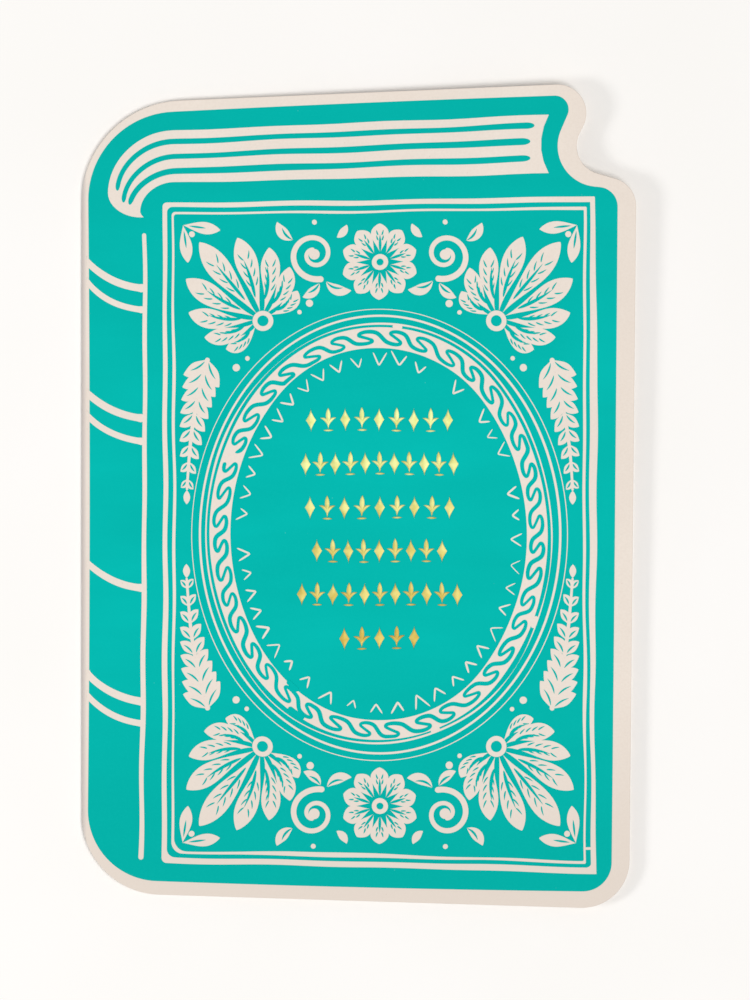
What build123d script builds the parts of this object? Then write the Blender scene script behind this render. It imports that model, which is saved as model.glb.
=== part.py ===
"""A die-cut greeting card in the outline of a closed book, folded once along its left edge.

Millimetres. The card lies on its back leaf with the front leaf sprung a little open. +X runs from the fold
to the fore-edge, +Y from the tail to the head, +Z up. The origin is under the middle of the card.
"""

import os
from math import atan2, cos, degrees, hypot, pi, radians, sin, tan

from build123d import *

# The board and its fold
width = 121.5  # from the fold to the fore-edge
height = 181.0  # between the sharp corners of the outline, before they are rounded
board = 0.45
fold_inside = 0.5  # radius inside the fold
opening_angle = 2.0  # degrees that the front leaf springs up
trim = 5.0  # how far the folded sheet runs past the outline before it is cut

# The outline's six corners, by how far each stands in from the card's sides, and their radii
tail_left_rise = 3.7
tail_left_radius = 17.5
tail_right_inset = 1.55
tail_right_radius = 10.4
shoulder_drop = 22.4
shoulder_radius = 6.2
notch_inset = 15.65
notch_drop = 17.8
notch_radius = 6.2
lobe_inset = 6.95
lobe_radius = 6.3
head_left_drop = 4.7
head_left_radius = 22.4

# The ink, and how far in from each corner of the outline its own corner is, across and along
ink = 0.05
ink_tail_left = (1.75, 2.9)
ink_tail_left_radius = 15.5
ink_tail_right = (4.1, 4.3)
ink_tail_right_radius = 6.3
ink_shoulder = (4.1, 1.5)
ink_shoulder_radius = 3.6
ink_notch = (5.5, 2.4)
ink_notch_radius = 9.5
ink_lobe = (5.3, 2.25)
ink_lobe_radius = 4.0
ink_head_left = (1.7, 1.9)
ink_head_left_radius = 20.6

# The block of pages drawn under the head edge
block_inset = 19.2  # in from the fore-edge to its right end
block_drop = 7.05  # down from the head to its upper right corner
block_depth = 12.9
block_hollow = 1.75
block_slope = 2.3  # degrees that it rises to the right
block_foot_slope = 1.3
block_curl_inset = 19.35  # in from the fold to the upright line where its left end starts to curl
block_curl = 13.55
block_heel = 5.5
block_mouth = 6.35
block_lip_reach = 0.75
block_lip_drop = 1.0
page_curls = (11.2, 9.8, 8.8)
page_first = 2.45
page_pitch = 3.35
page_line = 1.1
page_line_inset = 3.8
page_curl_angle = 86.0

# The spine, left of its own upright line
spine_line_inset = 13.75
spine_line_width = 1.1
spine_line_point = 6.0  # length of its thin upper end
spine_line_lean = 0.85
spine_line_drop = 33.3
spine_line_rise = 10.7
band_width = 1.75
band_radius = 15.5
band_sweep = 56.0
band_overlap = 0.5
band_drops = (45.2, 49.9, 73.3, 78.6, 110.6, 135.3, 140.2)  # down from the head

# The double rule: the middles of the outer one's lines, in from the card's sides at its corners
rule_left_inset = 18.1
rule_right_inset = 9.25
rule_head_left_drop = 26.8
rule_head_right_drop = 25.6
rule_tail_left_rise = 10.9
rule_tail_right_rise = 8.6
rule_width = 1.25
rule_gap = 2.0
inner_rule_width = 0.7

# The oval band with its running wave, about the oval's own middle
oval_x = 4.45
oval_y = -8.2
band_half_width = 37.1
band_half_height = 45.3
band_thickness = 4.5
ring_gaps = (0.4, 2.1)
ring_widths = (0.5, 0.6)
waves = 40
wave_side = (  # one side of the waving line, as a share of a wave along the band and mm out from its middle
    (-0.233, -0.6),
    (-0.017, -0.82),
    (0.103, -0.52),
    (-0.175, 0.15),
    (-0.233, 0.6),
    (-0.158, 1.35),
    (0.083, 1.68),
    (0.317, 1.25),
)
chevrons = 46
chevron_inset = 1.15
chevron_width = 3.1
chevron_depth = 2.5
chevron_line = 1.1  # thickness at its point

# The ornament in the four corners and at head and tail, about the oval's middle
palmette_x = 25.6
palmette_y = 46.6
palmette_axis = 51.0
palmette_step = 22.0
palmette_side_lobes = 4
palmette_length = 23.5
palmette_taper = 3.35
palmette_width = 5.2
palmette_narrowing = 0.5
palmette_hollow = 3.0
palmette_eye = 2.1
rosette_y = 59.6
rosette_petals = 10
rosette_radius = 8.4
rosette_petal_width = 4.1
rosette_hollow = 2.3
rosette_eye = 1.7
eye_sides = 12
scroll_x = 14.3
scroll_y = 61.2
scroll_radius = 5.6
scroll_winding = 1.5
scroll_start = -112.0
scroll_line = 1.2
spray_x = 35.6
spray_y = 42.8
spray_tip_x = 41.6
spray_tip_y = 11.0
spray_sag = 1.2
spray_line = 0.9
spray_pairs = 6
spray_leaf = 7.4
spray_tip_leaf = 2.8
spray_leaf_angle = 36.0
spray_leaf_slenderness = 0.42

# The foil: rows of lozenges, each row by its height about the oval's middle and its count
foil = 0.05
foil_rows = ((24.6, 9), (15.2, 11), (6.0, 9), (-3.4, 9), (-12.6, 11), (-22.0, 5))
foil_pitch = 3.4
lozenge_width = 2.2
lozenge_height = 4.6

half_width = width / 2
half_height = height / 2
fold_outside = fold_inside + board
fold_axis = -half_width + fold_outside

# The outer face of the front leaf: across it x is counted as on the flat card, so the drawing fits its outline
leaf_run = Vector(cos(radians(opening_angle)), 0, sin(radians(opening_angle)))
leaf_up = Vector(-sin(radians(opening_angle)), 0, cos(radians(opening_angle)))
leaf_start = Vector(fold_axis, 0, fold_outside) + leaf_up * fold_outside
front_face = Plane(origin=leaf_start - leaf_run * fold_axis, x_dir=leaf_run, z_dir=leaf_up)

corners = (
    (-half_width, -half_height + tail_left_rise),
    (half_width - tail_right_inset, -half_height),
    (half_width, half_height - shoulder_drop),
    (half_width - notch_inset, half_height - notch_drop),
    (half_width - lobe_inset, half_height),
    (-half_width, half_height - head_left_drop),
)
corner_radii = (
    tail_left_radius,
    tail_right_radius,
    shoulder_radius,
    notch_radius,
    lobe_radius,
    head_left_radius,
)
ink_insets = (
    (ink_tail_left[0], ink_tail_left[1]),
    (-ink_tail_right[0], ink_tail_right[1]),
    (-ink_shoulder[0], -ink_shoulder[1]),
    (-ink_notch[0], -ink_notch[1]),
    (-ink_lobe[0], -ink_lobe[1]),
    (ink_head_left[0], -ink_head_left[1]),
)
ink_corners = [(x + across, y + along) for (x, y), (across, along) in zip(corners, ink_insets)]
ink_radii = (
    ink_tail_left_radius,
    ink_tail_right_radius,
    ink_shoulder_radius,
    ink_notch_radius,
    ink_lobe_radius,
    ink_head_left_radius,
)


def on_oval(inset, angle):
    """A point of the oval that lies inset inside the band's outer edge, and the way out from it."""
    a, b = band_half_width - inset, band_half_height - inset
    reach = a * b / hypot(b * cos(angle), a * sin(angle))
    point = Vector(reach * cos(angle), reach * sin(angle))
    return point, Vector(point.X / a**2, point.Y / b**2).normalized()


class RoundedOutline(BaseSketchObject):
    """Straight sides between corners, each corner rounded by its own radius."""

    def __init__(self, points, radii, mode=Mode.ADD):
        with BuildSketch() as outline:
            with BuildLine():
                FilletPolyline(*points, radius=radii, close=True)
            make_face()
        super().__init__(obj=outline.sketch, mode=mode)


class RuleFrame(BaseSketchObject):
    """An even line round a four-cornered frame."""

    def __init__(self, points, inset, line_width, mode=Mode.ADD):
        with BuildSketch() as frame:
            with BuildLine():
                Polyline(*points, close=True)
            make_face()
            offset(amount=line_width / 2 - inset, kind=Kind.INTERSECTION)
            offset(amount=-line_width, kind=Kind.INTERSECTION, mode=Mode.SUBTRACT)
        super().__init__(obj=frame.sketch, mode=mode)


class OvalRing(BaseSketchObject):
    """A ring between the oval that lies inset inside the band's outer edge and one further in."""

    def __init__(self, inset, thickness, mode=Mode.ADD):
        with BuildSketch() as ring:
            Ellipse(band_half_width - inset, band_half_height - inset)
            Ellipse(band_half_width - inset - thickness, band_half_height - inset - thickness, mode=Mode.SUBTRACT)
        super().__init__(obj=ring.sketch, mode=mode)


class Leaf(BaseSketchObject):
    """A cut leaf from its root along +X, with its fullest part past the middle."""

    def __init__(self, length, leaf_width, rotation=0, mode=Mode.ADD):
        side = leaf_width / 2
        with BuildSketch() as leaf:
            with BuildLine():
                Polyline((0, 0), (length * 0.4, side * 0.8), (length * 0.8, side), (length, 0))
                mirror(about=Plane.XZ)
            make_face()
        super().__init__(obj=leaf.sketch, rotation=rotation, mode=mode)


class Lozenge(BaseSketchObject):
    """A straight-sided leaf or lozenge from its root along +X, widest at the given share of its length."""

    def __init__(self, length, leaf_width, fullest, rotation=0, mode=Mode.ADD):
        middle = length * fullest
        side = leaf_width / 2
        with BuildSketch() as lozenge:
            Polygon((0, 0), (middle, -side), (length, 0), (middle, side), align=None)
        super().__init__(obj=lozenge.sketch, rotation=rotation, mode=mode)


# The card: the folded sheet's section, carried along the fold and cut to the outline through both leaves
with BuildPart() as card:
    with BuildSketch(Plane.XZ):
        with BuildLine():
            round_outside = CenterArc((fold_axis, fold_outside), fold_outside, 270, opening_angle - 180)
            round_inside = CenterArc((fold_axis, fold_outside), fold_inside, 270, opening_angle - 180)
            back_outside = Line(round_outside @ 0, (half_width + trim, 0))
            back_inside = Line(round_inside @ 0, (half_width + trim, board))
            front_outside = PolarLine(round_outside @ 1, width + trim, opening_angle)
            front_inside = PolarLine(round_inside @ 1, width + trim, opening_angle)
            Line(back_outside @ 1, back_inside @ 1)
            Line(front_outside @ 1, front_inside @ 1)
        make_face()
    extrude(amount=half_height + trim, both=True)
    with BuildSketch():
        RoundedOutline(corners, corner_radii)
    extrude(amount=width, mode=Mode.INTERSECT)
card.part.label = "card"


# The block of pages, seen from its foot: a curled cream shape with teal lines between the pages
slope, foot_slope = radians(block_slope), radians(block_foot_slope)
block_right = half_width - block_inset
block_head = half_height - block_drop
curl_x = -half_width + block_curl_inset
curl_top = block_head - (block_right - curl_x) * tan(slope)
mouth_top = block_head - block_depth - (block_right - curl_x) * tan(foot_slope)
with BuildSketch() as page_block:
    with BuildLine():
        curl = CenterArc((curl_x, curl_top - block_curl), block_curl, 90 + block_slope, 90 - block_slope)
        heel = JernArc(curl @ 1, curl % 1, block_heel, 90)
        mouth = CenterArc((curl_x, mouth_top - block_mouth), block_mouth, 180, block_foot_slope - 90)
        Polyline(heel @ 1, (mouth @ 0) + Vector(block_lip_reach, -block_lip_drop), mouth @ 0)
        foot = Line(mouth @ 1, (block_right, block_head - block_depth))
        SagittaArc(foot @ 1, (block_right, block_head), block_hollow)
        Line((block_right, block_head), curl @ 0)
    make_face()
    for line, page_curl in enumerate(page_curls):
        line_top = curl_top - page_first - line * page_pitch
        with BuildLine(mode=Mode.PRIVATE) as page:
            bend = CenterArc((curl_x, line_top - page_curl), page_curl, 90 + block_slope, page_curl_angle)
            PolarLine(bend @ 0, (block_right - page_line_inset - curl_x) / cos(slope), block_slope)
        trace(page.wires()[0], page_line, mode=Mode.SUBTRACT)

# The spine's upright line, drawn to a thin end at the top, and its raised bands
line_x = -half_width + spine_line_inset
line_head = half_height - spine_line_drop
line_foot = -half_height + spine_line_rise
with BuildSketch() as spine:
    Polygon(
        (line_x - spine_line_lean - spine_line_width / 2, line_foot),
        (line_x - spine_line_lean + spine_line_width / 2, line_foot),
        (line_x + spine_line_width / 2, line_head - spine_line_point),
        (line_x, line_head),
        (line_x - spine_line_width / 2, line_head - spine_line_point),
        align=None,
    )
    for drop in band_drops:
        middle = (line_x - band_overlap, half_height - drop + band_radius)
        trace(CenterArc(middle, band_radius, 270, -band_sweep, mode=Mode.PRIVATE), band_width)

# The double rule round the cover
rule_corners = (
    (-half_width + rule_left_inset, half_height - rule_head_left_drop),
    (-half_width + rule_left_inset, -half_height + rule_tail_left_rise),
    (half_width - rule_right_inset, -half_height + rule_tail_right_rise),
    (half_width - rule_right_inset, half_height - rule_head_right_drop),
)
with BuildSketch() as rules:
    RuleFrame(rule_corners, 0, rule_width)
    RuleFrame(rule_corners, rule_gap, inner_rule_width)

# The oval's rings and its row of chevrons that point inwards
with BuildSketch() as oval:
    OvalRing(0, band_thickness)
    for ring_gap, ring_width in zip(ring_gaps, ring_widths):
        OvalRing(-ring_gap - ring_width, ring_width)
    chevron_places = []
    for count in range(chevrons):
        angle = 2 * pi * (count + 0.5) / chevrons
        point, outward = on_oval(band_thickness + chevron_inset, angle)
        chevron_places.append(Location((point.X, point.Y), degrees(atan2(outward.Y, outward.X)) + 90))
    with Locations(chevron_places):
        Polygon(
            (0, chevron_depth),
            (-chevron_width / 2, 0),
            (0, chevron_depth - chevron_line),
            (chevron_width / 2, 0),
            align=None,
        )

# The wave: one teal line that runs round the band, hooked back on itself at every crest and trough
with BuildSketch() as wave:
    for side, mode in ((1, Mode.ADD), (-1, Mode.SUBTRACT)):
        wave_points = []
        for count in range(waves):
            for along, outwards in wave_side[::side]:
                middle, outward = on_oval(band_thickness / 2, -2 * pi * (count + side * along) / waves)
                wave_points.append(middle + outward * outwards * side)
        with BuildLine():
            Polyline(*wave_points, close=True)
        make_face(mode=mode)

# The ornament, one quarter of it mirrored to four
with BuildSketch() as ornament:
    with Locations((palmette_x, palmette_y)):
        for side in range(-palmette_side_lobes, palmette_side_lobes + 1):
            lobe_angle = palmette_axis + side * palmette_step
            lobe_length = palmette_length - abs(side) * palmette_taper - palmette_hollow
            with PolarLocations(palmette_hollow, 1, start_angle=lobe_angle):
                Leaf(lobe_length, palmette_width - abs(side) * palmette_narrowing)
        RegularPolygon(palmette_eye, eye_sides)
    with BuildLine(mode=Mode.PRIVATE) as scroll:
        outer_half = CenterArc((scroll_x, scroll_y), scroll_radius, scroll_start, 180)
        JernArc(outer_half @ 1, outer_half % 1, scroll_radius - scroll_winding, 180)
    trace(scroll.wires()[0], scroll_line)
    stem = SagittaArc((spray_x, spray_y), (spray_tip_x, spray_tip_y), spray_sag, mode=Mode.PRIVATE)
    trace(stem, spray_line)
    for pair in range(spray_pairs):
        share = (pair + 0.5) / spray_pairs
        leaf_length = spray_leaf + (spray_tip_leaf - spray_leaf) * share
        heading = stem % share
        for turned in (spray_leaf_angle, -spray_leaf_angle):
            with Locations(stem @ share):
                leaf_angle = degrees(atan2(heading.Y, heading.X)) + turned
                Lozenge(leaf_length, leaf_length * spray_leaf_slenderness, 0.45, rotation=leaf_angle)
    mirror(about=Plane.YZ)
    with Locations((0, rosette_y)):
        with PolarLocations(rosette_hollow, rosette_petals, start_angle=90):
            Leaf(rosette_radius - rosette_hollow, rosette_petal_width)
        RegularPolygon(rosette_eye, eye_sides)
    mirror(about=Plane.XZ)

# The ink: a film on the front leaf with every mark left open in it, and the wave inside its band
with BuildPart() as cover_ink:
    with BuildSketch(front_face):
        RoundedOutline(ink_corners, ink_radii)
        add([page_block.sketch, spine.sketch, rules.sketch], mode=Mode.SUBTRACT)
        with Locations((oval_x, oval_y)):
            add([oval.sketch, ornament.sketch], mode=Mode.SUBTRACT)
            add(wave.sketch)
    extrude(amount=ink)
cover_ink.part.label = "cover_ink"

# The foil, stamped over the ink
with BuildPart() as foil_ornament:
    with BuildSketch(front_face.offset(ink)):
        for row_height, count in foil_rows:
            with Locations((oval_x, oval_y + row_height)):
                with GridLocations(foil_pitch, 1, count, 1):
                    Lozenge(lozenge_height, lozenge_width, 0.5, rotation=90)
    extrude(amount=foil)
foil_ornament.part.label = "foil_ornament"

os.makedirs("parts", exist_ok=True)
export_step(card.part, "parts/card.step")
export_step(cover_ink.part, "parts/cover_ink.step")
export_step(foil_ornament.part, "parts/foil_ornament.step")
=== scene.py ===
# %% [markdown]
# # A greeting card, cut to the outline of a closed book
#
# The real thing is one sheet of cream card stock. It is folded once, pressed through a cutting die, printed
# in one flat colour and stamped with gold foil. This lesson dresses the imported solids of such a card.
#
# The solids come in as a fixed frame. Everything that is made here is measured in millimetres on the card,
# seen straight from above, and is turned into metres when its mesh is made.

import bpy
import numpy as np
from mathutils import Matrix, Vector


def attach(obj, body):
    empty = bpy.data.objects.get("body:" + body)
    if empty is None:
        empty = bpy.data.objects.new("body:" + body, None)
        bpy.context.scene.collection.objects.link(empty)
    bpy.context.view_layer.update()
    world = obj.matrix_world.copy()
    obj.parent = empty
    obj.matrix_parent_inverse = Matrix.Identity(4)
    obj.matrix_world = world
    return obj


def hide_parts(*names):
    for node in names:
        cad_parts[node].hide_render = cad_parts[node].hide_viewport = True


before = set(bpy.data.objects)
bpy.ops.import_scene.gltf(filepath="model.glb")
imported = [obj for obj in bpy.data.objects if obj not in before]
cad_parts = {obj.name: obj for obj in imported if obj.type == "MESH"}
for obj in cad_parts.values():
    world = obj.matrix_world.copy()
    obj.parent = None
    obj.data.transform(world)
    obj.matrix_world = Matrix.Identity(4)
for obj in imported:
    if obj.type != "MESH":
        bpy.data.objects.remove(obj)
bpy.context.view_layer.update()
MM = 0.001
print("nodes of the frame:", sorted(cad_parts))

# %% [markdown]
# ## Putting a grid into a mesh
#
# Every surface in this scene is a grid of points, worked out by a formula with two parameters. A grid could
# be made with Blender's own tools and then bent, but a formula says exactly what the shape is, and numpy
# works out all its points at once. One helper then puts any number of grids into one mesh.

# %% A mesh from grids of points
def together(*parts):
    """Coordinates spread to one shape and put side by side, as places (x, y) or points (x, y, z)."""
    return np.stack(np.broadcast_arrays(*parts), axis=-1)


def grid_mesh(name, grids, material, upwards=False):
    """One object from grids of points in mm, each shaped (..., rows, columns, 3).

    Each cell of a grid becomes one four-sided face, between a row and the next and a column and the next.
    With upwards set, a face whose normal points down is turned over.
    """
    points, faces, start = [], [], 0
    for grid in grids:
        grid = np.asarray(grid, float)
        rows, columns = grid.shape[-3:-1]
        flat = grid.reshape(-1, 3)
        index = start + np.arange(len(flat)).reshape(-1, rows, columns)
        cells = [index[:, :-1, :-1], index[:, 1:, :-1], index[:, 1:, 1:], index[:, :-1, 1:]]
        faces.append(np.stack(cells, axis=-1).reshape(-1, 4))
        points.append(flat)
        start += len(flat)
    points, faces = np.vstack(points), np.vstack(faces)
    if upwards:
        first = points[faces[:, 2]] - points[faces[:, 0]]
        second = points[faces[:, 3]] - points[faces[:, 1]]
        down = first[:, 0] * second[:, 1] - first[:, 1] * second[:, 0] < 0
        faces[down] = faces[down][:, ::-1]
    mesh = bpy.data.meshes.new(name)
    mesh.vertices.add(len(points))
    mesh.vertices.foreach_set("co", (points * MM).ravel())
    mesh.loops.add(faces.size)
    mesh.loops.foreach_set("vertex_index", faces.ravel())
    mesh.polygons.add(len(faces))
    mesh.polygons.foreach_set("loop_start", np.arange(0, faces.size, 4))
    mesh.update(calc_edges=True)
    mesh.shade_smooth()
    mesh.materials.append(material)
    piece = bpy.data.objects.new(name, mesh)
    bpy.context.collection.objects.link(piece)
    print(f"{name}: {len(faces)} faces")
    return piece


# %% [markdown]
# ## A small kit for node materials
#
# The finishes share a few steps: a noise at a real size, round flecks, a tint of the colour so far, a fine
# bump. Each is a node or two linked to the last. They could be built by hand in the shader editor, but as
# methods of one class each finish becomes a few lines that read like a recipe. All patterns read Object
# coordinates, which stay on the card when it moves, so one metre there is one real metre.

# %% Steps that the materials share
def srgb(red, green, blue):
    """A colour as a picture shows it, 0 to 255, turned into the linear values that Blender works with.

    The curve between them is a straight line near black, and above it a power of 2.4.
    """
    shown = np.array([red, green, blue]) / 255
    linear = np.where(shown <= 0.04045, shown / 12.92, ((shown + 0.055) / 1.055) ** 2.4)
    return (*[float(value) for value in linear], 1.0)


class Finish:
    """A node material in the making: its shader, its places on the card, and the colour so far."""

    def __init__(self, name, roughness, specular=0.5, metallic=0.0):
        self.material = bpy.data.materials.new(name)
        self.material.use_nodes = True
        self.nodes, self.links = self.material.node_tree.nodes, self.material.node_tree.links
        self.shader = self.nodes["Principled BSDF"]
        self.place = self.nodes.new("ShaderNodeTexCoord").outputs["Object"]
        self.colour = None
        gloss = {"Roughness": roughness, "Specular IOR Level": specular, "Metallic": metallic}
        self.feed(self.shader, gloss)

    def feed(self, node, inputs):
        """A node's outputs, after each input is set to its value or linked where that is another's output."""
        for name, value in inputs.items():
            if isinstance(value, bpy.types.NodeSocket):
                self.links.new(value, node.inputs[name])
            else:
                node.inputs[name].default_value = value
        return node.outputs

    def remap(self, value, low, high, new_low=0.0, new_high=1.0):
        """The value's range from low to high spread over a new range, and held at its ends."""
        ends = {"From Min": low, "From Max": high, "To Min": new_low, "To Max": new_high}
        return self.feed(self.nodes.new("ShaderNodeMapRange"), {"Value": value, **ends})["Result"]

    def noise(self, grain_mm, detail, stretch=(1, 1, 1)):
        """A noise whose grains are about grain_mm wide, and longer along an axis whose factor is small."""
        scale = {"Vector": self.place, "Scale": [factor / (grain_mm * MM) for factor in stretch]}
        scaled = self.feed(self.nodes.new("ShaderNodeMapping"), scale)["Vector"]
        texture = {"Vector": scaled, "Scale": 1.0, "Detail": detail}
        return self.feed(self.nodes.new("ShaderNodeTexNoise"), texture)["Fac"]

    def clouds(self, grain_mm, detail, low, high, stretch=(1, 1, 1)):
        """A noise whose values from low to high are spread from 0 to 1."""
        return self.remap(self.noise(grain_mm, detail, stretch), low, high)

    def along(self, axis, start_mm, end_mm):
        """How far along an axis a place lies: 0 up to the start, 1 from the end on."""
        split = self.feed(self.nodes.new("ShaderNodeSeparateXYZ"), {"Vector": self.place})
        return self.remap(split[axis], start_mm * MM, end_mm * MM)

    def flecks(self, cell_mm, radius_mm, kept):
        """Round flecks, each at the middle of a random cell, in only the share of the cells that is kept."""
        scale = {"Vector": self.place, "Scale": 1 / (cell_mm * MM)}
        cells = self.feed(self.nodes.new("ShaderNodeTexVoronoi"), scale)
        reach = radius_mm / cell_mm
        spot = self.remap(cells["Distance"], reach * 0.6, reach, 1.0, 0.0)
        chosen = self.remap(cells["Color"], 1 - kept, 1 - kept + 0.01)
        both = self.nodes.new("ShaderNodeMath")
        both.operation = "MULTIPLY"
        return self.feed(both, {0: spot, 1: chosen})[0]

    def mix(self, share, first, second):
        """A colour between two others, each a fixed colour or another node's output."""
        node = self.nodes.new("ShaderNodeMix")
        node.data_type = "RGBA"
        return self.feed(node, {"Factor": share, 6: first, 7: second})[2]

    def tint(self, share, tone, most=1.0):
        """The colour so far turned towards a tone, as far as most where the share is 1."""
        self.colour = self.mix(self.remap(share, 0, 1, 0, most), self.colour, tone)

    def done(self, relief=None, depth_mm=0.0, strength=0.0):
        """The material with its colour linked, and a fine relief as deep as depth_mm where its value is 1."""
        self.feed(self.shader, {"Base Color": self.colour})
        if relief:
            depth = {"Height": relief, "Distance": depth_mm * MM, "Strength": strength}
            normal = self.feed(self.nodes.new("ShaderNodeBump"), depth)["Normal"]
            self.feed(self.shader, {"Normal": normal})
        print("finish:", self.material.name, "of", len(self.nodes), "nodes")
        return self.material


print("a shown value of 128 is", round(srgb(128, 128, 128)[0], 3), "as a linear one")

# %% [markdown]
# ## The three finishes
#
# Uncoated card stock is never one flat cream: it has a cloudy tone where the fibres lie closer, a fine
# tooth and here and there a dark fleck. Painted shade darkens it round the fold and towards the tail. The ink
# soaks in, so its teal carries the same tooth, a little streaked from the roller, with pinholes where a fibre
# stood up, and painted shade darkens it at head and tail. The foil is a real metal skin pressed into that
# surface, so it mirrors the room but breaks up over the tooth; its colour also holds a painted reflection
# that turns from pale to orange towards the tail. A picture of paper could be used as a texture instead, but
# noises at the real size of each feature stay sharp from any distance.

# %% Cream card stock
def card_stock():
    """Cream in cloudy tones with flecks and a fine tooth, and painted shade towards the tail and round the
    fold.
    """
    finish = Finish("cream_card_stock", 0.86, 0.12)
    finish.colour = finish.mix(finish.clouds(22, 4, 0.3, 0.7), srgb(234, 222, 211), srgb(239, 228, 217))
    # Painted shade: the stock darkens towards the tail, where the light falls off.
    finish.tint(finish.along("Y", -40, -84), srgb(228, 216, 205))
    # Painted shade on the round fold, whose back turns away from the light.
    finish.tint(finish.along("X", -59.6, -60.3), srgb(208, 199, 194))
    finish.tint(finish.clouds(0.5, 4, 0.35, 0.75), srgb(224, 211, 199), 0.35)
    finish.tint(finish.flecks(7.0, 0.16, 0.22), srgb(150, 126, 110), 0.55)
    finish.tint(finish.flecks(3.1, 0.2, 0.3), srgb(216, 200, 186), 0.4)
    return finish.done(finish.noise(0.28, 5), 0.02, 0.35)


stock = card_stock()


# %% Teal ink
def teal_ink():
    """Flat teal with slow roller streaks, the stock's tooth, a few pinholes, and painted shade at head and
    tail.
    """
    finish = Finish("teal_ink", 0.65, 0.02)
    streaks = finish.clouds(9, 4, 0.3, 0.7, stretch=(0.25, 1, 1))
    finish.colour = finish.mix(streaks, srgb(0, 182, 174), srgb(1, 189, 181))
    finish.tint(finish.clouds(38, 2, 0.35, 0.65), srgb(0, 177, 167), 0.4)
    # Painted shade: the teal darkens towards the head, and more towards the tail, where the light falls off.
    finish.tint(finish.along("Y", 22, 78), srgb(0, 172, 163), 0.55)
    finish.tint(finish.along("Y", -32, -80), srgb(0, 172, 163), 0.8)
    finish.tint(finish.clouds(0.45, 4, 0.45, 0.8), srgb(16, 194, 185), 0.16)
    finish.tint(finish.flecks(3.7, 0.14, 0.35), srgb(110, 214, 204), 0.3)
    return finish.done(finish.noise(0.3, 5), 0.02, 0.3)


ink = teal_ink()


# %% Gold foil
def gold_foil():
    """Slightly crinkled satin gold, its painted reflection pale at the head and orange towards the tail, in
    patches.
    """
    finish = Finish("gold_foil", 0.62, metallic=1.0)
    # Painted reflection: the foil's colour goes from pale gold at the head to orange gold at the tail, mixed
    # in patches.
    tailwards = finish.along("Y", 24, -36)
    pale_painted_reflection = finish.mix(tailwards, srgb(222, 230, 170), srgb(208, 188, 104))
    warm_painted_reflection = finish.mix(tailwards, srgb(204, 208, 130), srgb(192, 162, 74))
    finish.colour = finish.mix(finish.clouds(2.6, 3, 0.38, 0.66), pale_painted_reflection, warm_painted_reflection)
    return finish.done(finish.noise(0.35, 3), 0.03, 0.4)


foil = gold_foil()

# %% [markdown]
# ## The cut line
#
# The die cuts both leaves at once along one line: a closed book seen from the front, with a hollow at the
# head of its fore-edge. The line is six straight sides with a rounded corner between each two. A curve object
# with bevelled corners could draw it, but the arcs are easy to write: each touches both its sides, and its
# middle lies on the line that halves the corner.

# %% The rounded outline
outline_points = 24


def unit(vectors):
    """Each vector scaled to a length of 1."""
    return vectors / np.linalg.norm(vectors, axis=-1, keepdims=True)


def rounded_outline(corners, radii, arc_steps=outline_points, side_steps=outline_points):
    """Straight sides joined by arcs, as one closed run of points, anticlockwise from the first corner's arc.

    An arc's middle lies on the line that halves its corner, at the radius divided by the sine of half the
    corner's angle. The arc's points turn evenly from the side before the corner to the side after it.
    """
    corners, radii = np.array(corners, float), np.array(radii, float)[:, None]
    back = unit(np.roll(corners, 1, axis=0) - corners)
    ahead = unit(np.roll(corners, -1, axis=0) - corners)
    half = np.arccos(np.sum(back * ahead, axis=1, keepdims=True)) / 2
    middles = corners + unit(back + ahead) * radii / np.sin(half)
    first = (corners + back * radii / np.tan(half) - middles)[:, None]
    last = (corners + ahead * radii / np.tan(half) - middles)[:, None]
    turn, share = (np.pi - 2 * half)[:, None], np.linspace(0, 1, arc_steps)[:, None]
    spokes = (np.sin((1 - share) * turn) * first + np.sin(share * turn) * last) / np.sin(turn)
    arcs = middles[:, None] + spokes
    starts, ends = arcs[:, -1:], np.roll(arcs[:, :1], -1, axis=0)
    share = np.linspace(0, 1, side_steps + 2)[1:-1, None]
    sides = starts + (ends - starts) * share
    return np.concatenate([arcs, sides], axis=1).reshape(-1, 2)


def left_of(heading):
    """The direction a quarter turn to the left of a heading."""
    return together(-heading[..., 1], heading[..., 0])


def outward(loop):
    """The way out of a closed anticlockwise run of points: its heading, turned a quarter to the right."""
    return -left_of(unit(np.roll(loop, -1, axis=0) - np.roll(loop, 1, axis=0)))


cut_corners = ((-60.75, -86.8), (59.2, -90.5), (60.75, 68.1), (45.1, 72.7), (53.8, 90.5), (-60.75, 85.8))
cut_radii = (17.5, 10.4, 6.2, 6.2, 6.3, 22.4)
cut_line = rounded_outline(cut_corners, cut_radii)
print("cut line:", len(cut_line), "points,", np.round(np.ptp(cut_line, axis=0), 2), "mm over all")

# %% [markdown]
# ## How the front leaf lies
#
# Card stock springs back after it is folded, so the front leaf stands about two degrees open. It is twisted a
# little as well: its fore-edge lies lower at the tail than at the head. The leaf's height is one formula of a
# place on the card, and the board, the ink, the drawing and the foil all use it, so nothing floats or sinks.

# %% The height of the front leaf
board = 0.45
fold_inside = 0.5
fold_outside = fold_inside + board
opening = np.radians(2.0)
fold_axis = cut_line[:, 0].min() + fold_outside
leaf_from = fold_axis - fold_outside * np.sin(opening)
leaf_start_height = fold_outside * (1 + np.cos(opening))
front_reach = cut_line[:, 0].max() - leaf_from
tail_dip = 2.8


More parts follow.
